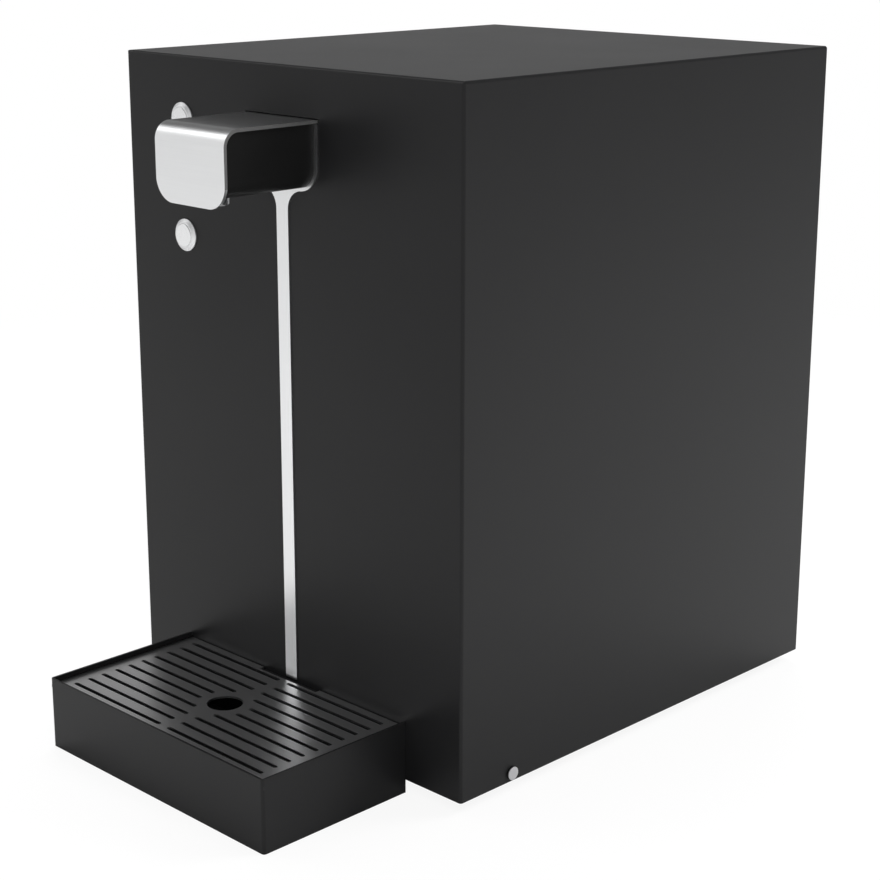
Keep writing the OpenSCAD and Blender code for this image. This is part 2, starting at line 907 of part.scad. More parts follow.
module spout_bracket() {
    face = cover_t + bracket_t;
    color("gainsboro")
        difference() {
            union() {
                translate([-bracket_w / 2, cover_t, valve_low - bracket_t])
                    cube([bracket_w, bracket_t, sheet_low - valve_low + bracket_t]);
                translate([-bracket_w / 2, face, sheet_low - bracket_t])
                    cube([bracket_w, spout_tail - bracket_t, bracket_t]);
                translate([-bracket_w / 2, face, valve_low - bracket_t])
                    cube([bracket_w, bracket_shelf, bracket_t]);
            }
            translate([0, 0, hose_z])
                bar_y(hose_r + hole_gap, cover_t - 1, face + 1);
            for (side = [-1, 1]) {
                translate([side * housing_screw_x, 0, housing_screw_z])
                    bar_y(spout_screw_r + hole_gap, cover_t - 1, face + 1);
                translate([side * spout_screw_x, spout_screw_y, sheet_low - bracket_t - 1])
                    cylinder(r = spout_shank_r + hole_gap, h = bracket_t + 2);
            }
        }
}

module spout_screws() {
    color("silver") {
        for (side = [-1, 1])
            translate([side * spout_screw_x, spout_screw_y, sheet_top])
                screw(spout_screw_r, 2.2, spout_shank_r, spout_t + bracket_t + 3);
        for (side = [-1, 1])
            translate([side * housing_screw_x, cover_t, housing_screw_z])
                inward()
                    screw(spout_screw_r, 2.2, spout_shank_r, cover_t + strip_t + housing_boss_len - 4);
    }
}

// Puts a piece drawn along a button's axis behind the panel at height z
module at_button(z) {
    translate([-button_x, 0, z])
        inward()
            children();
}

module bezel(z) {
    color([0.88, 0.88, 0.89])
        at_button(z)
            rotate_extrude()
                polygon([[bezel_bore_r, -bezel_h], [bezel_bore_r + bezel_flat, -bezel_h],
                         [bezel_r, -bezel_edge_t], [bezel_r, 0], [barrel_r, 0], [barrel_r, barrel_len],
                         [bezel_bore_r, barrel_len], [bezel_bore_r, wall_at + barrel_wall_t],
                         [stem_r + cap_gap, wall_at + barrel_wall_t], [stem_r + cap_gap, wall_at],
                         [bezel_bore_r, wall_at]]);
}

module cap(z) {
    front = -bezel_h - cap_proud;
    color([0.9, 0.9, 0.91])
        at_button(z)
            rotate_extrude()
                polygon([[0, front], [cap_r - cap_chamfer, front], [cap_r, front + cap_chamfer],
                         [cap_r, cap_back], [stem_r, cap_back], [stem_r, stem_end], [0, stem_end]]);
}

module spring(z) {
    rise = spring_len - 2 * spring_gap - 2 * spring_wire_r;
    color("silver")
        at_button(z)
            translate([0, 0, cap_back + spring_gap + spring_wire_r])
                coil(spring_r, rise / spring_turns, spring_turns, spring_wire_r, 5, 14);
}

module button_nut(z) {
    color("silver")
        at_button(z)
            translate([0, 0, cover_t])
                difference() {
                    cylinder(r = nut_r, h = button_nut_t, $fn = 6);
                    translate([0, 0, -1])
                        cylinder(r = barrel_r + hole_gap, h = button_nut_t + 2);
                }
}

module button_switch(z) {
    start = barrel_len + seat_gap;
    color([0.15, 0.15, 0.16])
        at_button(z) {
            translate([0, 0, start])
                cylinder(r = switch_r, h = switch_len);
            translate([0, 0, stem_end + button_travel + 0.4])
                cylinder(r = plunger_r, h = start - stem_end - button_travel);
            for (x = [-5, 0, 5])
                translate([x - 1.4, -0.4, start + switch_len - 1])
                    cube([2.8, 0.8, terminal_len]);
        }
}

module drip_tray() {
    half = tray_w / 2;
    color([0.14, 0.14, 0.145])
        difference() {
            union() {
                difference() {
                    translate([0, 0, tray_low])
                        linear_extrude(tray_h) {
                            translate([-half, -tray_reach + tray_corner_r])
                                square([tray_w, tray_reach - tray_corner_r - tray_back]);
                            translate([-half + tray_corner_r, -tray_reach])
                                square([tray_w - 2 * tray_corner_r, tray_corner_r]);
                            for (side = [-1, 1])
                                translate([side * (half - tray_corner_r), -tray_reach + tray_corner_r])
                                    circle(tray_corner_r);
                        }
                    translate([-half + tray_t, -tray_reach + tray_t, tray_low + tray_t])
                        cube([tray_w - 2 * tray_t, tray_reach - 2 * tray_t - tray_back, tray_h]);
                }
                for (side = [-1, 1])
                    translate([side * (half - tray_t / 2 - ledge_w / 2) - ledge_w / 2 - tray_t / 2,
                               -tray_reach + tray_t / 2, grille_low - ledge_t])
                        cube([ledge_w + tray_t, tray_reach - tray_t - tray_back, ledge_t]);
                translate([-half + tray_t / 2, -tray_reach + tray_t / 2, grille_low - ledge_t])
                    cube([tray_w - tray_t, ledge_w, ledge_t]);
            }
            translate([-half + tray_t, -tray_back - 2 * tray_t, grille_low])
                cube([tray_w - 2 * tray_t, 4 * tray_t, tray_h]);
        }
}

// One row of slots: each half runs from the middle rib, or from the ring round the hole, to the side
module slot_row(y) {
    away = y + nozzle_y;
    ring_r = drain_r + drain_ring;
    start = max(slot_rib, sqrt(max(0, ring_r * ring_r - away * away))) + slot_w / 2;
    for (side = [0, 1])
        mirror([side, 0]) {
            translate([start, y - slot_w / 2])
                square([slot_end - slot_w / 2 - start, slot_w]);
            for (x = [start, slot_end - slot_w / 2])
                translate([x, y])
                    circle(slot_w / 2);
        }
}

module drip_grille() {
    color([0.5, 0.5, 0.51])
        translate([0, 0, grille_low])
            linear_extrude(grille_t)
                difference() {
                    translate([-grille_w / 2, -grille_front])
                        square([grille_w, grille_front - grille_back]);
                    translate([0, -nozzle_y])
                        circle(drain_r);
                    translate([-notch_w / 2, -grille_back - notch_d])
                        square([notch_w, notch_d + 1]);
                    for (row = [0 : slot_rows - 1])
                        slot_row(-slot_first + row * slot_pitch);
                }
}

module fan_guard() {
    lug_r = 4;
    reach = fan_r + shroud_gap + 8;
    color([0.12, 0.12, 0.12])
        translate([fan_x, cabinet_d, fan_z])
            inward()
                linear_extrude(guard_t) {
                    for (i = [1 : guard_rings])
                        difference() {
                            circle(i * guard_step + guard_wire / 2);
                            circle(i * guard_step - guard_wire / 2);
                        }
                    for (a = [45 : 90 : 315])
                        rotate(a) {
                            translate([0, -guard_wire / 2])
                                square([reach, guard_wire]);
                            translate([reach, 0])
                                circle(lug_r);
                        }
                }
}

module fan_shroud() {
    inner = shroud_w - 2 * shroud_t;
    bore = fan_r + shroud_gap;
    color([0.2, 0.2, 0.2])
        translate([fan_x, 0, fan_z])
            difference() {
                union() {
                    difference() {
                        translate([-shroud_w / 2, condenser_back, -shroud_w / 2])
                            cube([shroud_w, shroud_d, shroud_w]);
                        translate([-inner / 2, condenser_back - 1, -inner / 2])
                            cube([inner, shroud_d + 1 - shroud_t, inner]);
                    }
                    bar_y(bore + shroud_t, rear_in - shroud_ring, rear_in);
                }
                bar_y(bore, condenser_back - 1, rear_in + 1);
            }
}

module fan_motor() {
    color([0.3, 0.3, 0.32])
        translate([fan_x, 0, fan_z])
            difference() {
                union() {
                    bar_y(fan_motor_r, fan_motor_front, fan_back);
                    intersection() {
                        for (a = [45, 135])
                            rotate([0, a, 0])
                                translate([-fan_r - 10, fan_back - fan_arm_t, -4])
                                    cube([2 * fan_r + 20, fan_arm_t, 8]);
                        bar_y(fan_r + shroud_gap - seat_gap, fan_motor_front, fan_back);
                    }
                }
                bar_y(fan_shaft_r + shaft_gap, fan_motor_front - 1, fan_motor_front + fan_shaft_len + 1);
            }
}

module fan_blade() {
    back = fan_motor_front - hub_gap;
    color([0.1, 0.1, 0.1])
        translate([fan_x, 0, fan_z]) {
            bar_y(fan_hub_r, back - fan_hub_t, back);
            bar_y(fan_shaft_r, back - 1, fan_motor_front + fan_shaft_len);
            intersection() {
                for (i = [0 : fan_blade_n - 1])
                    rotate([0, 360 / fan_blade_n * i, 0])
                        translate([0, back - fan_hub_t / 2, 0])
                            rotate([fan_blade_pitch, 0, 0])
                                translate([fan_hub_r - 3, -fan_blade_t / 2, -fan_blade_chord / 2])
                                    cube([fan_r - fan_hub_r + 6, fan_blade_t, fan_blade_chord]);
                bar_y(fan_r, back - fan_hub_t - 6, back + 1);
            }
        }
}

// Outline of one condenser fin, in x and y
module fin_outline() {
    difference() {
        translate([fan_x - condenser_w / 2, condenser_back - condenser_d])
            square([condenser_w, condenser_d]);
        for (i = [0 : tube_count - 1])
            translate([tube_first_x + i * tube_step, condenser_y])
                circle(tube_r + hole_gap);
    }
}

module condenser_fins() {
    step = (condenser_w - 2 * fin_first) / (fin_count - 1);
    color("silver")
        for (i = [0 : fin_count - 1])
            translate([0, 0, condenser_low + fin_first + i * step - fin_t / 2])
                linear_extrude(fin_t)
                    fin_outline();
}

module condenser_tubes() {
    low = condenser_low - tube_over + tube_step / 2;
    high = condenser_high;
    color([0.72, 0.45, 0.3]) {
        for (i = [0 : tube_count - 1]) {
            ends = i == 0 || i == tube_count - 1;
            bottom = ends ? condenser_low - tube_over : low;
            translate([tube_first_x + i * tube_step, condenser_y, bottom])
                ring(tube_r, tube_r - tube_wall, high - bottom);
        }
        for (i = [0 : tube_count - 2])
            translate([tube_first_x + (i + 0.5) * tube_step, condenser_y, i % 2 == 0 ? high : low])
                rotate([90, 0, 0])
                    rotate([0, 0, i % 2 == 0 ? 0 : 180])
                        rotate_extrude(angle = 180)
                            translate([tube_step / 2, 0])
                                difference() {
                                    circle(tube_r);
                                    circle(tube_r - tube_wall);
                                }
    }
}

module compressor() {
    base = compressor_low + compressor_base_t;
    half = compressor_leg + grommet_r;
    dome_r = (compressor_r * compressor_r + dome_h * dome_h) / (2 * dome_h);
    color([0.08, 0.08, 0.08])
        difference() {
            union() {
                translate([compressor_x, compressor_y, base])
                    cylinder(r = compressor_r, h = compressor_h);
                translate([compressor_x, compressor_y, base + compressor_h])
                    intersection() {
                        translate([0, 0, dome_h - dome_r])
                            sphere(r = dome_r);
                        cylinder(r = compressor_r, h = dome_h);
                    }
                translate([compressor_x - half, compressor_y - half, compressor_low])
                    cube([2 * half, 2 * half, compressor_base_t]);
                for (p = [compressor_outlet(), compressor_return()])
                    translate([p.x, p.y, base])
                        cylinder(r = line_r + port_wall, h = compressor_port_z - base);
            }
            for (p = grommet_places())
                translate([p.x, p.y, compressor_low - 1])
                    cylinder(r = grommet_bore_r + hole_gap, h = compressor_base_t + 2);
        }
}

module compressor_grommets() {
    color([0.06, 0.06, 0.06])
        for (p = grommet_places())
            translate([p.x, p.y, floor_z]) {
                cylinder(r = grommet_r, h = grommet_h);
                cylinder(r = grommet_bore_r, h = grommet_h + compressor_base_t - 0.5);
            }
}

module tank_insulation() {
    color([0.93, 0.9, 0.8])
        difference() {
            translate([tank_x - tank_w / 2, tank_y - tank_w / 2, floor_z])
                cube([tank_w, tank_w, tank_h]);
            translate([tank_x, tank_y, floor_z + tank_base_t])
                cylinder(r = tank_r + seat_gap, h = tank_h);
        }
}

module cold_tank() {
    color("lightgray")
        translate([tank_x, tank_y, floor_z + tank_base_t])
            difference() {
                cylinder(r = tank_r, h = tank_h - tank_base_t);
                translate([0, 0, tank_wall])
                    cylinder(r = tank_r - tank_wall, h = tank_h);
            }
}

module tank_lid() {
    color([0.25, 0.25, 0.26])
        difference() {
            union() {
                translate([tank_x - tank_w / 2, tank_y - tank_w / 2, tank_high])
                    cube([tank_w, tank_w, lid_t]);
                for (p = [still_port(), liquid_port(), suction_port()])
                    translate([p.x, p.y, tank_high])
                        cylinder(r = line_r + port_wall, h = lid_t + port_h);
            }
            for (p = [still_port(), liquid_port(), suction_port()])
                translate([p.x, p.y, tank_high - 1])
                    cylinder(r = line_r - line_wall, h = lid_t + port_h + 2);
            translate([carbonator_x, tank_y, tank_high - 1])
                cylinder(r = carbonator_r + hole_gap, h = lid_t + 2);
            translate([agitator_x, tank_y, tank_high - 1])
                cylinder(r = agitator_hub_r + 2, h = lid_t + 2);
        }
}

module evaporator_coil() {
    color([0.72, 0.45, 0.3])
        translate([tank_x, tank_y, evaporator_low])
            coil(evaporator_r, evaporator_pitch, evaporator_turns, evaporator_wire_r, 6, 24);
}

module agitator_motor() {
    color([0.25, 0.25, 0.27])
        translate([agitator_x, tank_y, lid_top])
            difference() {
                cylinder(r = agitator_motor_r, h = agitator_motor_h);
                translate([0, 0, -1])
                    cylinder(r = agitator_shaft_r + shaft_gap, h = agitator_seat + 2);
            }
}

module agitator() {
    low = lid_top + agitator_seat - agitator_len;
    color("silver")
        translate([agitator_x, tank_y, low]) {
            translate([0, 0, impeller_h - 2])
                cylinder(r = agitator_shaft_r, h = agitator_len - impeller_h + 2);
            cylinder(r = agitator_hub_r, h = impeller_h);
            for (i = [0 : 2])
                rotate(120 * i)
                    translate([agitator_hub_r - 2, -impeller_t / 2, 2])
                        cube([impeller_r - agitator_hub_r + 2, impeller_t, impeller_h - 4]);
        }
}

module carbonator() {
    wall = carbonator_wall;
    color("lightgray")
        translate([carbonator_x, tank_y, 0]) {
            translate([0, 0, lid_top - carbonator_len])
                difference() {
                    cylinder(r = carbonator_r, h = carbonator_len);
                    translate([0, 0, wall])
                        cylinder(r = carbonator_r - wall, h = carbonator_len - 2 * wall);
                }
            translate([0, 0, lid_top])
                cylinder(r = carbonator_r + carbonator_rim, h = carbonator_cap_h);
            for (p = [[0, 13], [0, -13], [14, 0]])
                translate([p.x, p.y, carbonator_top])
                    cylinder(r = line_r + port_wall, h = port_h);
        }
}

module pump_motor() {
    color([0.3, 0.3, 0.32])
        translate([pump_x0, pump_y, pump_z])
            rotate([0, 90, 0])
                cylinder(r = pump_r, h = pump_len);
}

module pump_head() {
    color([0.75, 0.6, 0.3])
        translate([pump_x0 - pump_head_len, pump_y, pump_z]) {
            rotate([0, 90, 0])
                cylinder(r = pump_head_r, h = pump_head_len);
            translate([valve_port_x - pump_x0 + pump_head_len, 0, 0]) {
                cylinder(r = pump_port_r, h = pump_head_r + pump_port_len);
                rotate([90, 0, 0])
                    cylinder(r = pump_port_r, h = pump_head_r + pump_port_len);
            }
        }
}

module pump_cradle() {
    color([0.1, 0.1, 0.1])
        difference() {
            translate([pump_x0 + (pump_len - cradle_len) / 2, pump_y - cradle_w / 2, floor_z])
                cube([cradle_len, cradle_w, pump_lift + cradle_cover]);
            translate([pump_x0 - 1, pump_y, pump_z])
                rotate([0, 90, 0])
                    cylinder(r = pump_r + seat_gap, h = pump_len + 2);
        }
}

module valve_block() {
    color([0.2, 0.2, 0.21])
        difference() {
            translate([-valve_w / 2, valve_y, valve_low])
                cube([valve_w, valve_d, valve_h]);
            translate([0, 0, hose_z])
                bar_y(hose_r - hose_wall, valve_y - 1, valve_y + 20);
            for (side = [-1, 1])
                translate([side * valve_port_x, valve_port_y, valve_low - 1])
                    cylinder(r = line_r - line_wall, h = 12);
        }
}

module valve_coils() {
    color([0.12, 0.2, 0.35])
        for (side = [-1, 1])
            translate([side * valve_port_x, 0, hose_z])
                bar_y(coil_r, valve_y + valve_d, valve_y + valve_d + coil_len);
}

module mains_inlet() {
    color([0.06, 0.06, 0.06])
        translate([electric_x, 0, water_z]) {
            difference() {
                union() {
                    translate([-mains_w / 2, cabinet_d - mains_depth, -mains_h / 2])
                        cube([mains_w, mains_depth, mains_h]);
                    translate([-mains_w / 2 - mains_lip, cabinet_d, -mains_h / 2 - mains_lip])
                        cube([mains_w + 2 * mains_lip, 3, mains_h + 2 * mains_lip]);
                }
                translate([-mains_w / 2 + mains_wall, cabinet_d - mains_depth + 4, -mains_h / 2 + mains_wall])
                    cube([mains_w - 2 * mains_wall, mains_depth, mains_h - 2 * mains_wall]);
            }
            for (p = [[-7, -3], [7, -3], [0, 3]])
                translate([p.x - 1, cabinet_d - mains_depth + 3, p.y - mains_pin_w / 2])
                    cube([2, mains_depth - 6, mains_pin_w]);
        }
}

module switch_housing() {
    lip = 2;
    color([0.06, 0.06, 0.06])
        translate([electric_x, 0, gas_z])
            difference() {
                union() {
                    translate([-switch_w / 2, cabinet_d - rocker_depth, -switch_h / 2])
                        cube([switch_w, rocker_depth, switch_h]);
                    translate([-switch_w / 2 - lip, cabinet_d, -switch_h / 2 - lip])
                        cube([switch_w + 2 * lip, lip, switch_h + 2 * lip]);
                }
                translate([-rocker_w / 2, cabinet_d - rocker_depth + 2, -rocker_h / 2])
                    cube([rocker_w, rocker_depth + 2, rocker_h]);
                translate([-switch_w / 2 - 1, cabinet_d - rocker_pin_y, 0])
                    rotate([0, 90, 0])
                        cylinder(r = rocker_pin_r + shaft_gap, h = switch_w + 2);
            }
}

// Rocker drawn at its pivot: a round-backed paddle with two tilted faces and a pin across
module power_rocker() {
    half = rocker_swing / 2;
    wide = rocker_w - 2 * rocker_gap;
    color([0.05, 0.05, 0.05])
        translate([electric_x, cabinet_d - rocker_pin_y, gas_z])
            rotate([half, 0, 0]) {
                intersection() {
                    translate([-wide / 2, -7, -rocker_h / 2 + 1.2])
                        cube([wide, 14, rocker_h - 2.4]);
                    union() {
                        for (side = [-1, 1])
                            rotate([side * half, 0, 0])
                                translate([-wide / 2, -5, side > 0 ? -rocker_h : 0])
                                    cube([wide, 9.5, rocker_h]);
                    }
                    translate([-wide / 2, 0, 0])
                        rotate([0, 90, 0])
                            cylinder(r = rocker_h / 2 - rocker_gap, h = wide);
                }
                translate([-rocker_w / 2 - 1.5, 0, 0])
                    rotate([0, 90, 0])
                        cylinder(r = rocker_pin_r, h = rocker_w + 3);
            }
}

// Threaded inlet: a hexagon on the panel's outside, the thread with its wide mouth, a lock nut and a stub
module inlet(x, z, r, bore) {
    hex_r = (r + inlet_flange_w) / cos(30);
    translate([x, 0, z])
        difference() {
            union() {
                bar_y(r, cabinet_d, rear_out);
                bar_y(r - inlet_step, rear_in - inlet_inner, cabinet_d);
                for (y = [rear_in - inlet_flange_t, cabinet_d])
                    translate([0, y, 0])
                        inward()
                            cylinder(r = hex_r, h = inlet_flange_t, $fn = 6);
            }
            bar_y(bore, rear_in - inlet_inner - 1, rear_out + 1);
            bar_y(r - inlet_wall, rear_out - inlet_mouth, rear_out + 1);
        }
}

module water_inlet() {
    color([0.75, 0.6, 0.3])
        inlet(service_x, water_z, water_inlet_r, line_r - line_wall);
}

module co2_inlet() {
    color([0.75, 0.6, 0.3])
        inlet(service_x, gas_z, gas_inlet_r, gas_line_r - line_wall);
}

module power_supply() {
    rib_t = 2;
    hollow = 2 * supply_wall;
    color([0.35, 0.36, 0.37])
        translate([supply_x - supply_w / 2, supply_y - supply_d / 2, floor_z]) {
            difference() {
                cube([supply_w, supply_d, supply_h]);
                translate([supply_wall, supply_wall, supply_wall])
                    cube([supply_w - hollow, supply_d - hollow, supply_h - hollow]);
            }
            for (i = [1 : 6])
                translate([0, i * supply_d / 7 - rib_t / 2, supply_h])
                    cube([supply_w, rib_t, 5]);
        }
}

// Holes and standoffs at the board's four corners, as y and z
function board_corners() =
    [for (y = [-1, 1]) for (z = [-1, 1])
        [board_y + y * (board_d / 2 - standoff_inset), board_z + z * (board_h / 2 - standoff_inset)]];

module control_board() {
    face = -inner_x + standoff_h;
    color([0.1, 0.35, 0.18]) {
        difference() {
            translate([face, board_y - board_d / 2, board_z - board_h / 2])
                cube([board_t, board_d, board_h]);
            for (p = board_corners())
                translate([face - 1, p.x, p.y])
                    rotate([0, 90, 0])
                        cylinder(r = 1.7, h = board_t + 2);
        }
        translate([face + board_t, board_y - 45, board_z - 35])
            cube([18, 40, 34]);
        translate([face + board_t, board_y + 10, board_z - 30])
            cube([12, 30, 16]);
        translate([face + board_t, board_y + 10, board_z + 5])
            cube([12, 30, 16]);
        translate([face + board_t, board_y - 40, board_z + 18])
            cube([9, 50, 12]);
    }
}

module board_standoffs() {
    color("gold")
        for (p = board_corners())
            translate([-inner_x, p.x, p.y])
                rotate([0, 90, 0])
                    cylinder(r = standoff_r, h = standoff_h);
}

module water_lines() {
    x = valve_port_x;
    inlet_end = rear_in - inlet_inner;
    pump_top = pump_z + pump_head_r + pump_port_len;
    pump_front = pump_y - pump_head_r - pump_port_len;
    rise_y = tank_y + tank_w / 2 + 11;
    in_y = tank_y + 13;
    out_y = tank_y - 13;
    cap_z = carbonator_top + port_h;
    in_z = cap_z + 20;
    out_z = valve_low - valve_line_drop;
    still_z = valve_low - valve_line_drop / 2;
    still_y = still_port().y;
    color([0.85, 0.88, 0.92]) {
        tube_path([[service_x, inlet_end, water_z], [service_x, pump_y, water_z], [x, pump_y, water_z],
                   [x, pump_y, pump_top]], line_r, line_wall, line_bend_r);
        tube_path([[x, pump_front, pump_z], [x, rise_y, pump_z], [x, rise_y, in_z], [x, in_y, in_z],
                   [x, in_y, cap_z]], line_r, line_wall, line_bend_r);
        tube_path([[x, out_y, cap_z], [x, out_y, out_z], [x, valve_port_y, out_z],
                   [x, valve_port_y, valve_low]], line_r, line_wall, line_bend_r);
        tube_path([[-x, still_y, port_top], [-x, still_y, still_z], [-x, valve_port_y, still_z],
                   [-x, valve_port_y, valve_low]], line_r, line_wall, line_bend_r);
    }
}

module co2_line() {
    carb_port_top = carbonator_top + port_h;
    run_z = lid_top + agitator_motor_h + gas_line_r + 5;
    turn_y = tank_y + tank_w / 2 + 27;
    color([0.6, 0.6, 0.62])
        tube_path([[service_x, rear_in - inlet_inner, gas_z], [service_x, turn_y, gas_z],
                   [service_x, turn_y, run_z], [service_x, tank_y, run_z],
                   [carbonator_x + 14, tank_y, run_z], [carbonator_x + 14, tank_y, carb_port_top]],
                  gas_line_r, line_wall, line_bend_r);
}

module refrigerant_lines() {
    outlet = compressor_outlet();
    back = compressor_return();
    liquid = liquid_port();
    suction = suction_port();
    tube_end = condenser_low - tube_over;
    drop = tube_end - 20;
    rise_y = tank_y + tank_w / 2 + 18;
    color([0.72, 0.45, 0.3]) {
        translate([outlet.x, outlet.y, compressor_port_z])
            ring(tube_r, tube_r - tube_wall, tube_end - compressor_port_z);
        tube_path([[tube_last_x, condenser_y, tube_end], [tube_last_x, condenser_y, drop],
                   [liquid.x, rise_y, drop], [liquid.x, rise_y, port_top + 20],
                   [liquid.x, liquid.y, port_top + 20], [liquid.x, liquid.y, port_top]],
                  tube_r, tube_wall, line_bend_r);
        tube_path([[suction.x, suction.y, port_top], [suction.x, suction.y, port_top + 32],
                   [back.x, suction.y, port_top + 32], [back.x, back.y, port_top + 32],
                   [back.x, back.y, compressor_port_z]],
                  tube_r, tube_wall, line_bend_r);
    }
}

place() base_pan();
place() outer_cover();
place() rear_panel();
place() cover_screws();
place() cover_washers();
place() rear_screws();
place() feet();
place() foot_screws();
place() spout_cover();
place() back_strip();
place() spout_housing();
place() spout_nozzle();
place() nozzle_nut();
place() nozzle_insert();
place() outlet_hose();
place() spout_bracket();
place() spout_screws();
place() bezel(upper_z);  // upper_bezel
place() cap(upper_z);  // upper_cap
place() spring(upper_z);  // upper_spring
place() button_nut(upper_z);  // upper_nut
place() button_switch(upper_z);  // upper_switch
place() bezel(lower_z);  // lower_bezel
place() cap(lower_z);  // lower_cap
place() spring(lower_z);  // lower_spring
place() button_nut(lower_z);  // lower_nut
place() button_switch(lower_z);  // lower_switch
place() drip_tray();
place() drip_grille();
place() fan_guard();
place() fan_shroud();
place() fan_motor();
place() fan_blade();
place() condenser_fins();
place() condenser_tubes();
place() compressor();
place() compressor_grommets();
place() tank_insulation();
place() cold_tank();
place() tank_lid();
place() evaporator_coil();
place() agitator_motor();
place() agitator();
place() carbonator();
place() pump_motor();
place() pump_head();
place() pump_cradle();
place() valve_block();
place() valve_coils();
place() mains_inlet();
place() switch_housing();
place() power_rocker();
place() water_inlet();
place() co2_inlet();
place() power_supply();
place() control_board();
place() board_standoffs();
place() water_lines();
place() co2_line();
place() refrigerant_lines();
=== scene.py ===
# Looks of the sparkling water maker: finishes, studio and camera over the built pieces
import json
import math
from collections import namedtuple
import bpy
import numpy as np
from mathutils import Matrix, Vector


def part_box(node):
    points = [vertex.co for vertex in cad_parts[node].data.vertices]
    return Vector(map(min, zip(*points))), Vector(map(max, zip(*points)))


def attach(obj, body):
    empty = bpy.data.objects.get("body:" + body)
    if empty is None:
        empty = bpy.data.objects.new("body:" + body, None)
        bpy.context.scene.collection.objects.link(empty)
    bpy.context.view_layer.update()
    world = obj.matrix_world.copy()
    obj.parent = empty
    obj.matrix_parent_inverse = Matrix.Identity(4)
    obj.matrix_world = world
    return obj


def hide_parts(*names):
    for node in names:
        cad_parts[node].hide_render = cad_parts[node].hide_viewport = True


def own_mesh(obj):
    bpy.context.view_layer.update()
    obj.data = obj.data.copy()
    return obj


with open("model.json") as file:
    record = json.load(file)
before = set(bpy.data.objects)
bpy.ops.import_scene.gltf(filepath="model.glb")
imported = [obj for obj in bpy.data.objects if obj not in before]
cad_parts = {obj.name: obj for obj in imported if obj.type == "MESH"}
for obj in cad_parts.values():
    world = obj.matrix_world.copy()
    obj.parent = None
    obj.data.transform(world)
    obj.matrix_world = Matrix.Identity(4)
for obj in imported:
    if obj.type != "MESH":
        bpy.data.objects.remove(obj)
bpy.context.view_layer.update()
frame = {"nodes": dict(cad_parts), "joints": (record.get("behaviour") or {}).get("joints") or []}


# Sockets of a Mix node that mixes colours
MIX_AMOUNT, MIX_FIRST, MIX_SECOND = 0, 6, 7
MIX_COLOUR = 2


class Value:
    """A shader value whose operators each add one Math node to its finish."""

    def __init__(self, finish, socket):
        self.finish = finish
        self.socket = socket

    def __add__(self, other):
        return self.finish.math("ADD", self, other)

    def __radd__(self, other):
        return self.finish.math("ADD", other, self)

    def __sub__(self, other):
        return self.finish.math("SUBTRACT", self, other)

    def __rsub__(self, other):
        return self.finish.math("SUBTRACT", other, self)

    def __mul__(self, other):
        return self.finish.math("MULTIPLY", self, other)

    def __rmul__(self, other):
        return self.finish.math("MULTIPLY", other, self)

    def __gt__(self, other):
        return self.finish.math("GREATER_THAN", self, other)

    def __lt__(self, other):
        return self.finish.math("LESS_THAN", self, other)


class Finish:
    """A material with one Principled shader, and the nodes that vary it over the surface."""

    def __init__(self, name, **constants):
        self.material = bpy.data.materials.new(name)
        self.material.use_nodes = True
        self.tree = self.material.node_tree
        self.shader = self.tree.nodes["Principled BSDF"]
        for socket, value in constants.items():
            self.shader.inputs[socket.replace("_", " ")].default_value = value

    def node(self, kind, settings=None, inputs=None, output=0):
        """One node: its settings first, then the values or links of its sockets."""
        made = self.tree.nodes.new(kind)
        for key, value in (settings or {}).items():
            setattr(made, key, value)
        for key, value in (inputs or {}).items():
            self.feed(made.inputs[key], value)
        return Value(self, made.outputs[output])

    def math(self, operation, first, second):
        """One Math node of two values."""
        return self.node("ShaderNodeMath", {"operation": operation}, {0: first, 1: second})

    def feed(self, socket, value):
        """Links a shader value to a socket, or sets a plain one on it."""
        if isinstance(value, Value):
            self.tree.links.new(value.socket, socket)
        else:
            socket.default_value = value

    def vary(self, name, value):
        """Feeds one of the shader's own sockets."""
        self.feed(self.shader.inputs[name], value)

    def place(self, stretch=(1.0, 1.0, 1.0)):
        """Object coordinates, stretched along each axis."""
        spot = self.node("ShaderNodeTexCoord", output="Object")
        return self.node("ShaderNodeMapping", inputs={"Vector": spot, "Scale": stretch})

    def noise(self, scale, detail, stretch=(1.0, 1.0, 1.0)):
        """Smooth noise from 0 to 1, with its scale in waves per metre."""
        inputs = {"Vector": self.place(stretch), "Scale": scale, "Detail": detail}
        return self.node("ShaderNodeTexNoise", inputs=inputs)

    def ramp(self, value, limits, results):
        """Straight change of a value from one pair of limits to a pair of results, held outside them."""
        inputs = {"Value": value, "From Min": limits[0], "From Max": limits[1]}
        inputs |= {"To Min": results[0], "To Max": results[1]}
        return self.node("ShaderNodeMapRange", inputs=inputs)

    def between(self, amount, first, second):
        """Colour from first, a tone or a shader value, to the tone second as amount goes from 0 to 1."""
        start = first if isinstance(first, Value) else (*first, 1.0)
        inputs = {MIX_AMOUNT: amount, MIX_FIRST: start, MIX_SECOND: (*second, 1.0)}
        return self.node("ShaderNodeMix", {"data_type": "RGBA"}, inputs, output=MIX_COLOUR)

    def relief(self, height, strength, distance):
        """Fine relief from a height value, on the shader's normal."""
        inputs = {"Strength": strength, "Distance": distance, "Height": height}
        self.vary("Normal", self.node("ShaderNodeBump", inputs=inputs))


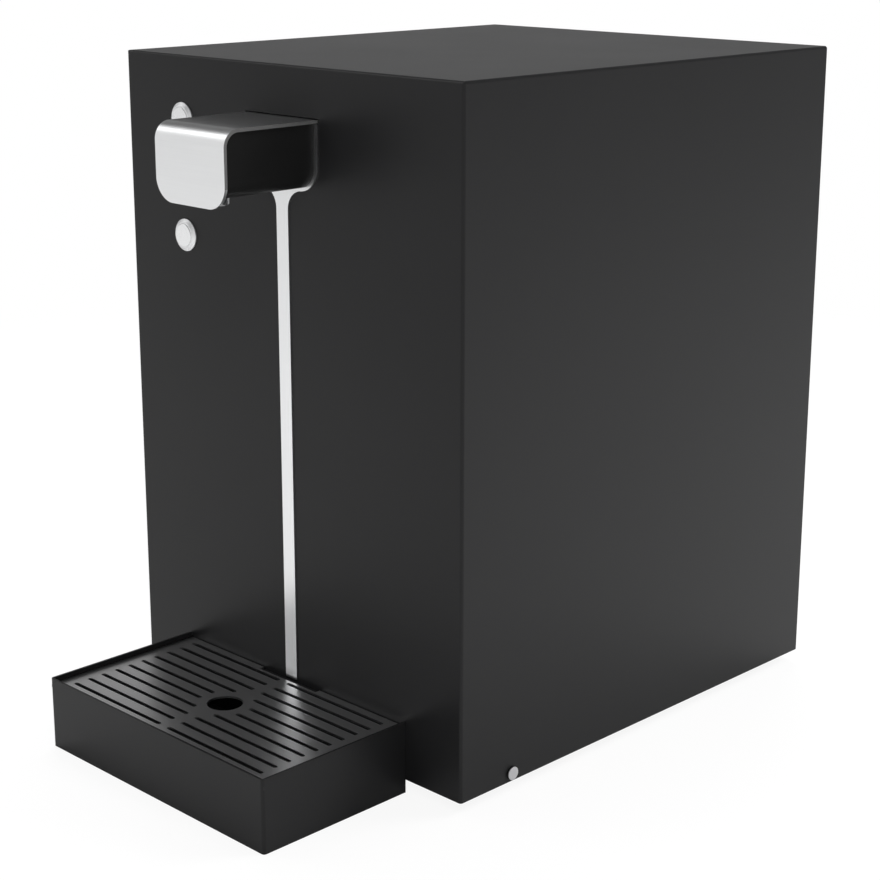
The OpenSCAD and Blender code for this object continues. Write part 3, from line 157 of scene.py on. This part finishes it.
# Patterns: WAVES per metre, DETAIL in octaves, SHARE in the tone, SPREAD of the roughness, depths in metres
DRIFT_DETAIL = 2.0
COAT_REFLECTION = 0.15
COAT_DRIFT_WAVES = 9.0
COAT_DRIFT_SHARE = 0.6
COAT_SPREAD = 0.05
PEBBLE_WAVES = 1400.0
PEBBLE_DETAIL = 3.0
PEBBLE_STRENGTH = 0.12
PEBBLE_DEPTH = 0.0002
BRUSH_WAVES = 900.0
BRUSH_DETAIL = 3.0
BRUSH_SHARE = 0.5
BRUSH_SPREAD = 0.10
BRUSH_STRENGTH = 0.012
BRUSH_DEPTH = 0.0001
BRUSH_DRIFT_WAVES = 14.0
CUT_ROUGHNESS = 0.30
CUT_TONE = (0.34, 0.34, 0.34)
CUT_DEPTH = 0.0002
PLASTIC_REFLECTION = 0.2
PLASTIC_DRIFT_WAVES = 25.0
GRAIN_DETAIL = 3.0
GRAIN_SHARE = 0.5
GRAIN_SPREAD = 0.12
GRAIN_DEPTH = 0.0002
CLOUD_WAVES = 60.0
CLOUD_DETAIL = 4.0
CLOUD_SPREAD = 0.14


def blend(first, second, share):
    """Sum of two values, with a share of the first and the rest of the second."""
    return first * share + second * (1.0 - share)


def about(middle, value, spread):
    """A value from 0 to 1 as a spread that lies evenly about a middle."""
    return middle - spread / 2 + value * spread


def powder_coat(name, dark, pale, rough):
    """Black powder coat: fine pebbled relief, with the gloss and tone drifting a little."""
    coat = Finish(name, Specular_IOR_Level=COAT_REFLECTION)
    pebble = coat.noise(PEBBLE_WAVES, PEBBLE_DETAIL)
    drift = coat.noise(COAT_DRIFT_WAVES, DRIFT_DETAIL)
    coat.vary("Base Color", coat.between(blend(drift, pebble, COAT_DRIFT_SHARE), dark, pale))
    coat.vary("Roughness", about(rough, drift, COAT_SPREAD))
    coat.relief(pebble, PEBBLE_STRENGTH, PEBBLE_DEPTH)
    return coat.material


def brushed(name, dark, pale, rough, stretch, cut_half=None):
    """Brushed metal: long scratches along the axis whose stretch is small, and matte cut side edges."""
    metal = Finish(name, Metallic=1.0)
    lines = metal.noise(BRUSH_WAVES, BRUSH_DETAIL, stretch)
    drift = metal.noise(BRUSH_DRIFT_WAVES, DRIFT_DETAIL)
    tone = metal.between(blend(lines, drift, BRUSH_SHARE), dark, pale)
    gloss = about(rough, lines, BRUSH_SPREAD)
    if cut_half:
        across = metal.node("ShaderNodeSeparateXYZ", inputs={"Vector": metal.place()}, output="X")
        cut = across * across > cut_half * cut_half
        tone = metal.between(cut, tone, CUT_TONE)
        gloss = gloss + cut * CUT_ROUGHNESS
    metal.vary("Base Color", tone)
    metal.vary("Roughness", gloss)
    metal.relief(lines, BRUSH_STRENGTH, BRUSH_DEPTH)
    return metal.material


def moulded(name, dark, pale, rough, grain, strength):
    """Moulded plastic, rubber, foam or enamel: an even grain and a slow drift of tone."""
    plastic = Finish(name, Specular_IOR_Level=PLASTIC_REFLECTION)
    fine = plastic.noise(grain, GRAIN_DETAIL)
    drift = plastic.noise(PLASTIC_DRIFT_WAVES, DRIFT_DETAIL)
    plastic.vary("Base Color", plastic.between(blend(fine, drift, GRAIN_SHARE), dark, pale))
    plastic.vary("Roughness", about(rough, fine, GRAIN_SPREAD))
    plastic.relief(fine, strength, GRAIN_DEPTH)
    return plastic.material


def drawn_metal(name, dark, pale, rough):
    """Plain bright metal, such as copper, brass or plated steel, a little clouded."""
    metal = Finish(name, Metallic=1.0)
    cloud = metal.noise(CLOUD_WAVES, CLOUD_DETAIL)
    metal.vary("Base Color", metal.between(cloud, dark, pale))
    metal.vary("Roughness", about(rough, cloud, CLOUD_SPREAD))
    return metal.material


def half_width(name):
    """Half the width of a node that lies about the middle, less a shallow skin."""
    return max(corner[0] for corner in frame["nodes"][name].bound_box) - CUT_DEPTH


# Stretches of the scratches: long across the width, long up the height, or short and fine all round
ACROSS = (0.02, 1.0, 1.0)
UPRIGHT = (1.0, 1.0, 0.02)
FINE = (5.0, 5.0, 5.0)

# Dark and pale tones of each finish
COAT_TONES = ((0.010, 0.010, 0.0105), (0.014, 0.014, 0.0145))
SPOUT_TONES = ((0.745, 0.75, 0.755), (0.825, 0.83, 0.835))
STRIP_TONES = ((0.70, 0.705, 0.71), (0.78, 0.785, 0.79))
BUTTON_TONES = ((0.76, 0.765, 0.77), (0.84, 0.845, 0.85))
BEZEL_TONES = ((0.72, 0.725, 0.73), (0.80, 0.805, 0.81))
GRILLE_TONES = ((0.73, 0.73, 0.735), (0.81, 0.81, 0.815))
PLATED_TONES = ((0.50, 0.50, 0.51), (0.62, 0.62, 0.63))
GALVANISED_TONES = ((0.38, 0.39, 0.40), (0.50, 0.51, 0.52))
COPPER_TONES = ((0.55, 0.27, 0.15), (0.70, 0.36, 0.21))
BRASS_TONES = ((0.55, 0.41, 0.16), (0.68, 0.52, 0.22))
FIN_TONES = ((0.60, 0.61, 0.62), (0.72, 0.73, 0.74))
PLASTIC_TONES = ((0.006, 0.006, 0.006), (0.009, 0.009, 0.009))
RUBBER_TONES = ((0.013, 0.013, 0.013), (0.020, 0.020, 0.020))
HOSE_TONES = ((0.62, 0.65, 0.68), (0.72, 0.75, 0.78))
FOAM_TONES = ((0.66, 0.61, 0.45), (0.78, 0.73, 0.58))
ENAMEL_TONES = ((0.030, 0.031, 0.034), (0.046, 0.047, 0.050))
BOARD_TONES = ((0.012, 0.085, 0.035), (0.018, 0.120, 0.050))

FINISHES = {
    "cabinet": powder_coat("cabinet_coat", *COAT_TONES, rough=0.38),
    "tray": powder_coat("tray_coat", *COAT_TONES, rough=0.38),
    "spout": brushed("spout_steel", *SPOUT_TONES, rough=0.33, stretch=ACROSS,
                     cut_half=half_width("spout_cover")),
    "strip": brushed("strip_steel", *STRIP_TONES, rough=0.30, stretch=UPRIGHT),
    "button": brushed("button_steel", *BUTTON_TONES, rough=0.28, stretch=FINE),
    "bezel": brushed("bezel_steel", *BEZEL_TONES, rough=0.54, stretch=FINE),
    "grille": brushed("grille_steel", *GRILLE_TONES, rough=0.33, stretch=ACROSS),
    "plated": drawn_metal("plated_steel", *PLATED_TONES, rough=0.30),
    "galvanised": drawn_metal("galvanised_sheet", *GALVANISED_TONES, rough=0.42),
    "copper": drawn_metal("drawn_copper", *COPPER_TONES, rough=0.30),
    "brass": drawn_metal("turned_brass", *BRASS_TONES, rough=0.28),
    "fin": drawn_metal("fin_alloy", *FIN_TONES, rough=0.38),
    "plastic": moulded("black_plastic", *PLASTIC_TONES, rough=0.5, grain=1800.0, strength=0.10),
    "rubber": moulded("black_rubber", *RUBBER_TONES, rough=0.75, grain=900.0, strength=0.20),
    "hose": moulded("pale_hose", *HOSE_TONES, rough=0.35, grain=300.0, strength=0.02),
    "foam": moulded("tank_foam", *FOAM_TONES, rough=0.85, grain=420.0, strength=0.40),
    "enamel": moulded("motor_enamel", *ENAMEL_TONES, rough=0.35, grain=500.0, strength=0.04),
    "board": moulded("board_coat", *BOARD_TONES, rough=0.30, grain=260.0, strength=0.05),
}

NODE_FINISH = {
    "cabinet": "outer_cover rear_panel",
    "tray": "drip_tray",
    "spout": "spout_cover",
    "strip": "back_strip",
    "button": "upper_cap lower_cap spout_nozzle nozzle_nut",
    "bezel": "upper_bezel lower_bezel",
    "grille": "drip_grille",
    "plated": "cover_screws rear_screws foot_screws spout_screws upper_nut lower_nut upper_spring "
              "lower_spring agitator cold_tank carbonator",
    "galvanised": "base_pan spout_bracket power_supply",
    "copper": "condenser_tubes evaporator_coil refrigerant_lines",
    "brass": "pump_head water_inlet co2_inlet board_standoffs",
    "fin": "condenser_fins",
    "plastic": "spout_housing nozzle_insert cover_washers fan_guard fan_shroud fan_blade mains_inlet "
               "switch_housing power_rocker upper_switch lower_switch pump_cradle valve_block tank_lid",
    "rubber": "feet compressor_grommets",
    "hose": "outlet_hose water_lines co2_line",
    "foam": "tank_insulation",
    "enamel": "fan_motor agitator_motor compressor pump_motor valve_coils",
    "board": "control_board",
}

for finish, names in NODE_FINISH.items():
    for name in names.split():
        for slot in frame["nodes"][name].material_slots:
            slot.material = FINISHES[finish]


# Caps, springs and inlets are drawn finer than their built solids, and edges past this angle stay sharp
SHARP_ANGLE = math.radians(35.0)

# Button caps: radii, rim and thickness in metres, and how far a cap fills the gap round its solid
CAP_FILL = 0.00018
CAP_THICK = 0.0055
CAP_STEM = 0.0029
CAP_RIM = 0.0003
CAP_SIDES = 96
RIM_ROWS = 8

# Button springs: the wire's radius in metres, and steps per turn
SPRING_WIRE = 0.0005
SPRING_TURNS = 5
SPRING_STEPS = 40
WIRE_SIDES = 12

# Inlets: bores, thread pitches, wall, mouth and neck in metres
WATER_BORE = 0.003
WATER_PITCH = 0.001814
GAS_BORE = 0.002
GAS_PITCH = 0.00127
INLET_SIDES = 96
INLET_WALL = 0.0032
MOUTH_DEPTH = 0.011
NECK_STEP = 0.0006

# Inlets' hexagons: thickness, what they stand over the thread, the face's share of the flat, the chamfer
HEX_THICK = 0.004
HEX_WIDER = 0.003
HEX_FACE_SHARE = 0.97
HEX_CHAMFER = 0.0012
CHAMFER_ROWS = 8

# Inlets' threads: the tapered lead in metres, rows per turn, depth as a share of the pitch, and the flanks
THREAD_LEAD = 0.0012
THREAD_ROWS = 12
THREAD_SHARE = 0.62
FLANK_MIDDLE = 0.5
FLANK_SWING = 0.6

# One ring of an inlet's outline: its depth, the reach that limits it, rows to the next ring, and its form
Ring = namedtuple("Ring", "depth limit rows form")
ROUND, HEXAGON, THREAD = range(3)


def surface(name, rings, joined, finish):
    """Mesh over rows of points: each row is a closed ring, and quads join it to the next row.

    The last row joins the first one where joined is set. Otherwise a flat face closes each end.
    """
    rows, sides, _ = rings.shape
    grid = np.arange(rows * sides).reshape(rows, sides)
    near = grid if joined else grid[:-1]
    far = np.roll(grid, -1, axis=0) if joined else grid[1:]
    corners = (near, far, np.roll(far, -1, axis=1), np.roll(near, -1, axis=1))
    faces = np.stack(corners, axis=-1).reshape(-1, 4).tolist()
    if not joined:
        faces += [grid[0].tolist(), grid[-1, ::-1].tolist()]
    mesh = bpy.data.meshes.new(name)
    mesh.from_pydata(rings.reshape(-1, 3).tolist(), [], faces)
    mesh.shade_smooth()
    mesh.set_sharp_from_angle(angle=SHARP_ANGLE)
    mesh.materials.append(FINISHES[finish])
    piece = bpy.data.objects.new(name, mesh)
    bpy.context.scene.collection.objects.link(piece)
    return piece


def round_depth_axis(node, reach, angle, depth):
    """Points at a reach and an angle about the depth axis through the middle of a node's box."""
    low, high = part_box(node)
    middle = (low + high) / 2
    across = middle.x + reach * np.cos(angle)
    up = middle.z + reach * np.sin(angle)
    return np.stack(np.broadcast_arrays(across, depth, up), axis=-1)


def make_cap(node, body):
    """Button cap with a rounded rim that nearly fills the bezel's bore.

    One outline of reaches and depths is carried round the button's axis: the flat face, a quarter
    circle to the side, the side, the back and the stem.
    """
    low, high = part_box(node)
    radius = (high.x - low.x) / 2 + CAP_FILL
    back = low.y + CAP_THICK
    turn = np.linspace(0.0, math.pi / 2, RIM_ROWS)
    rim_reach = radius - CAP_RIM + CAP_RIM * np.sin(turn)
    rim_depth = low.y + CAP_RIM - CAP_RIM * np.cos(turn)
    reach = np.concatenate([[radius - 2 * CAP_RIM], rim_reach, [radius, CAP_STEM, CAP_STEM]])[:, None]
    depth = np.concatenate([[low.y], rim_depth, [back, back, high.y]])[:, None]
    angle = np.linspace(0.0, math.tau, CAP_SIDES, endpoint=False)[None, :]
    piece = surface(node + "_rounded", round_depth_axis(node, reach, angle, depth), False, "button")
    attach(piece, body)
    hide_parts(node)


def make_spring(node, joint):
    """Button spring at the full length of its solid. The share of its length kept with the button pressed
    is worked out, but nothing uses it.

    The wire's circle is carried along a helix: the angle and the depth of its middle rise evenly
    together, and the circle stands on the line outwards and the line along the depth.
    """
    low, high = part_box(node)
    radius = (high.x - low.x) / 2 - SPRING_WIRE
    share = np.linspace(0.0, 1.0, SPRING_TURNS * SPRING_STEPS + 1)[:, None]
    round_wire = np.linspace(0.0, -math.tau, WIRE_SIDES, endpoint=False)[None, :]
    reach = radius + SPRING_WIRE * np.cos(round_wire)
    rise = high.y - low.y - 2 * SPRING_WIRE
    depth = low.y + SPRING_WIRE + rise * share + SPRING_WIRE * np.sin(round_wire)
    rings = round_depth_axis(node, reach, math.tau * SPRING_TURNS * share, depth)
    piece = surface(node + "_wire", rings, False, "plated")
    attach(piece, "cabinet")
    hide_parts(node)
    travel = next(item["range_m"][1] for item in frame["joints"] if item["name"] == joint)
    keep = 1.0 - travel / (high.y - low.y)
    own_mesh(piece)


def spread_rows(starts, ends, counts):
    """Column of values that go evenly from each start towards its end, in the given count of rows."""
    runs = [np.linspace(*run, endpoint=False) for run in zip(starts, ends, counts)]
    return np.concatenate(runs)[:, None]


def make_inlet(node, bore, pitch):
    """Threaded inlet: one closed outline of depths and reaches, carried round the depth axis.

    Each row of the outline is a circle, or a hexagon cut by that circle, or a thread. A hexagon's
    reach is its flat's distance over the cosine of the angle from the flat's middle. A thread's
    reach falls and rises once per pitch of depth, and its phase moves on once per turn.
    """
    low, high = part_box(node)
    panel_in, panel_out = (corner.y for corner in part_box("rear_panel"))
    flat = (high.z - low.z) / 2
    crest = flat - HEX_WIDER
    corner = flat / math.cos(math.pi / 6)
    face = flat * HEX_FACE_SHARE
    neck = crest - NECK_STEP
    mouth = crest - INLET_WALL
    mouth_end = high.y - MOUTH_DEPTH
    cut = pitch * THREAD_SHARE
    nut = panel_in - HEX_THICK
    seat = panel_out + HEX_THICK
    lead = high.y - THREAD_LEAD
    thread_rows = round((lead - seat) / pitch * THREAD_ROWS)
    outline = (
        Ring(low.y, bore, 1, ROUND),
        Ring(low.y, neck, 1, ROUND),
        Ring(nut, neck, 1, ROUND),
        Ring(nut, face, CHAMFER_ROWS, HEXAGON),
        Ring(nut + HEX_CHAMFER, corner, 1, HEXAGON),
        Ring(panel_in, corner, 1, HEXAGON),
        Ring(panel_in, neck, 1, ROUND),
        Ring(panel_out, neck, 1, ROUND),
        Ring(panel_out, corner, 1, HEXAGON),
        Ring(seat - HEX_CHAMFER, corner, CHAMFER_ROWS, HEXAGON),
        Ring(seat, face, 1, HEXAGON),
        Ring(seat, crest, thread_rows, THREAD),
        Ring(lead, crest, THREAD_ROWS, THREAD),
        Ring(high.y, crest - cut, 1, ROUND),
        Ring(high.y, mouth, 1, ROUND),
        Ring(mouth_end, mouth, 1, ROUND),
        Ring(mouth_end, bore, 1, ROUND),
    )
    depths, limits, counts, forms = zip(*outline)
    depth = spread_rows(depths, depths[1:] + depths[:1], counts)
    limit = spread_rows(limits, limits[1:] + limits[:1], counts)
    form = np.repeat(forms, counts)[:, None]
    angle = np.linspace(0.0, math.tau, INLET_SIDES, endpoint=False)[None, :]
    hexagon = flat / np.cos(np.mod(angle, math.pi / 3) - math.pi / 6)
    wave = np.clip(FLANK_MIDDLE - FLANK_SWING * np.cos(math.tau * depth / pitch + angle), 0.0, 1.0)
    shaped = np.where(form == HEXAGON, hexagon, crest - cut * wave)
    reach = np.where(form == ROUND, limit, np.minimum(limit, shaped))
    piece = surface(node + "_threaded", round_depth_axis(node, reach, angle, depth), True, "brass")
    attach(piece, "cabinet")
    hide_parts(node)


make_cap("upper_cap", "upper_button")
make_cap("lower_cap", "lower_button")
make_spring("upper_spring", "upper_button_press")
make_spring("lower_spring", "lower_button_press")
make_inlet("water_inlet", WATER_BORE, WATER_PITCH)
make_inlet("co2_inlet", GAS_BORE, GAS_PITCH)


# Studio: FADE is the distance in metres over which a share of the white glow changes, SHARES its two ends
RAY_KINDS = ("Camera", "Transmission", "Glossy")
WHITE = (1.0, 1.0, 1.0, 1.0)
GLOW = 1.0
STAGE_ROUGHNESS = 0.9
SEEN_FADE = (0.45, 1.3)
SEEN_SHARES = (0.90, 1.0)
FLOOR_SIZE = 14.0
FLOOR_TONE = (0.85, 0.85, 0.85, 1.0)
FLOOR_FADE = (0.30, 1.0)
FLOOR_SHARES = (0.0, 0.42)
WALL_RADIUS = 5.0
WALL_HEIGHT = 2.9
WALL_SLOPE = 0.14
WALL_SIDES = 48
WALL_TONE = (0.30, 0.30, 0.30, 1.0)
WALL_FADE = (-2.5, 2.5)
WALL_SHARES = (0.87, 0.33)
SKY_SEEN = 1.0
SKY_GLOSS = 0.12
SKY_LIGHT = 0.55

# Soft boxes: place, aim and width in metres, power in watts, and whether reflections show them
LAMPS = {
    "key_lamp": {"place": (-1.85, -1.20, 2.35), "aim": (0.0, -0.19, 0.35),
                 "width": 1.2, "power": 13.0, "mirrored": True},
    "top_lamp": {"place": (-1.0, 1.0, 3.4), "aim": (0.0, 0.0, 0.0),
                 "width": 1.8, "power": 110.0, "mirrored": False},
    "front_lamp": {"place": (1.0, -1.0, 1.6), "aim": (0.8, -0.8, 0.0),
                   "width": 0.8, "power": 13.0, "mirrored": False},
    "rear_lamp": {"place": (1.1, 1.3, 1.5), "aim": (0.35, 0.40, 0.0),
                  "width": 0.8, "power": 32.0, "mirrored": False},
}

# Camera that matches the photograph: metres, degrees, and millimetres of lens and sensor
CAMERA_PLACE = (0.8747, -0.8742, 0.5302)
CAMERA_TURN = (75.0, 0.0, 45.0)
CAMERA_LENS = 79.13
CAMERA_SENSOR = 36.0
CAMERA_SHIFT = (0.0103, -0.0370)


class Studio(Finish):
    """A node tree of the world, written as a finish is."""

    def __init__(self, tree):
        self.tree = tree


def ray_kinds(finish):
    """Two masks: 1 on rays from the camera or through clear pieces, and 1 on reflected rays."""
    outputs = (f"Is {kind} Ray" for kind in RAY_KINDS)
    camera, clear, gloss = (finish.node("ShaderNodeLightPath", output=output) for output in outputs)
    return camera + clear, gloss


def make_stage(name, points, faces, tone, gloss_along, gloss_fade, gloss_shares):
    """A pale surface that reads white: shares of a white glow over its plain tone.

    The camera's share rises with the distance from the object. The share of reflections
    changes with that reach too, or with the depth from the front to the back.
    """
    mesh = bpy.data.meshes.new(name)
    mesh.from_pydata(points, [], faces)
    stage = bpy.data.objects.new(name, mesh)
    bpy.context.scene.collection.objects.link(stage)
    finish = Finish(name, Base_Color=tone, Roughness=STAGE_ROUGHNESS)
    glow = finish.node("ShaderNodeEmission", inputs={"Color": WHITE, "Strength": GLOW})
    spot = finish.place()
    places = {
        "reach": finish.node("ShaderNodeVectorMath", {"operation": "LENGTH"}, {0: spot}, output="Value"),
        "depth": finish.node("ShaderNodeSeparateXYZ", inputs={"Vector": spot}, output="Y"),
    }
    seen, gloss = ray_kinds(finish)
    seen_share = finish.ramp(places["reach"], SEEN_FADE, SEEN_SHARES)
    gloss_share = finish.ramp(places[gloss_along], gloss_fade, gloss_shares)
    share = seen * seen_share + gloss * gloss_share
    plain = Value(finish, finish.shader.outputs[0])
    mixed = finish.node("ShaderNodeMixShader", inputs={0: share, 1: plain, 2: glow})
    finish.feed(finish.tree.nodes["Material Output"].inputs["Surface"], mixed)
    mesh.materials.append(finish.material)


def make_floor():
    """The floor, which keeps a faint shadow of the object near it."""
    half = FLOOR_SIZE / 2
    points = [(-half, -half, 0), (half, -half, 0), (half, half, 0), (-half, half, 0)]
    make_stage("studio_floor", points, [(0, 1, 2, 3)], FLOOR_TONE, "reach", FLOOR_FADE, FLOOR_SHARES)


def make_wall():
    """A low round wall far from everything, taller at the front, for a bright horizon in reflections."""
    angle = np.linspace(0.0, math.tau, WALL_SIDES, endpoint=False)
    across = WALL_RADIUS * np.cos(angle)
    depth = WALL_RADIUS * np.sin(angle)
    foot = np.stack([across, depth, np.zeros(WALL_SIDES)], axis=-1)
    top = np.stack([across, depth, WALL_HEIGHT - WALL_SLOPE * depth], axis=-1)
    points = np.concatenate([foot, top]).tolist()
    side = np.arange(WALL_SIDES)
    after = np.roll(side, -1)
    faces = np.stack([side, side + WALL_SIDES, after + WALL_SIDES, after], axis=-1).tolist()
    make_stage("studio_wall", points, faces, WALL_TONE, "depth", WALL_FADE, WALL_SHARES)


def make_sky():
    """A sky that is white for the camera, plain for the light and dark in reflections."""
    world = bpy.data.worlds.new("studio_sky")
    world.use_nodes = True
    bpy.context.scene.world = world
    sky = Studio(world.node_tree)
    seen, gloss = ray_kinds(sky)
    level = seen * SKY_SEEN + gloss * SKY_GLOSS + (1.0 - seen - gloss) * SKY_LIGHT
    backdrop = world.node_tree.nodes["Background"]
    sky.feed(backdrop.inputs["Color"], WHITE)
    sky.feed(backdrop.inputs["Strength"], level)


def make_lamp(name, place, aim, width, power, mirrored):
    """A square soft box that faces a point, and shows in reflections or not."""
    light = bpy.data.lights.new(name, "AREA")
    light.size = width
    light.energy = power
    lamp = bpy.data.objects.new(name, light)
    lamp.location = place
    ahead = [end - start for start, end in zip(place, aim)]
    tilt = math.atan2(ahead[2], math.hypot(ahead[0], ahead[1]))
    lamp.rotation_euler = (math.pi / 2 + tilt, 0.0, math.atan2(-ahead[0], ahead[1]))
    lamp.visible_glossy = mirrored
    bpy.context.scene.collection.objects.link(lamp)


def make_camera():
    """The camera of the photograph's view."""
    lens = bpy.data.cameras.new("photo_camera")
    lens.sensor_width = CAMERA_SENSOR
    lens.lens = CAMERA_LENS
    lens.shift_x, lens.shift_y = CAMERA_SHIFT
    camera = bpy.data.objects.new("photo_camera", lens)
    camera.location = CAMERA_PLACE
    camera.rotation_euler = [math.radians(turn) for turn in CAMERA_TURN]
    bpy.context.scene.collection.objects.link(camera)
    bpy.context.scene.camera = camera


make_floor()
make_wall()
make_sky()
for lamp_name, lamp_values in LAMPS.items():
    make_lamp(lamp_name, **lamp_values)
make_camera()
bpy.context.scene.view_settings.view_transform = "Standard"
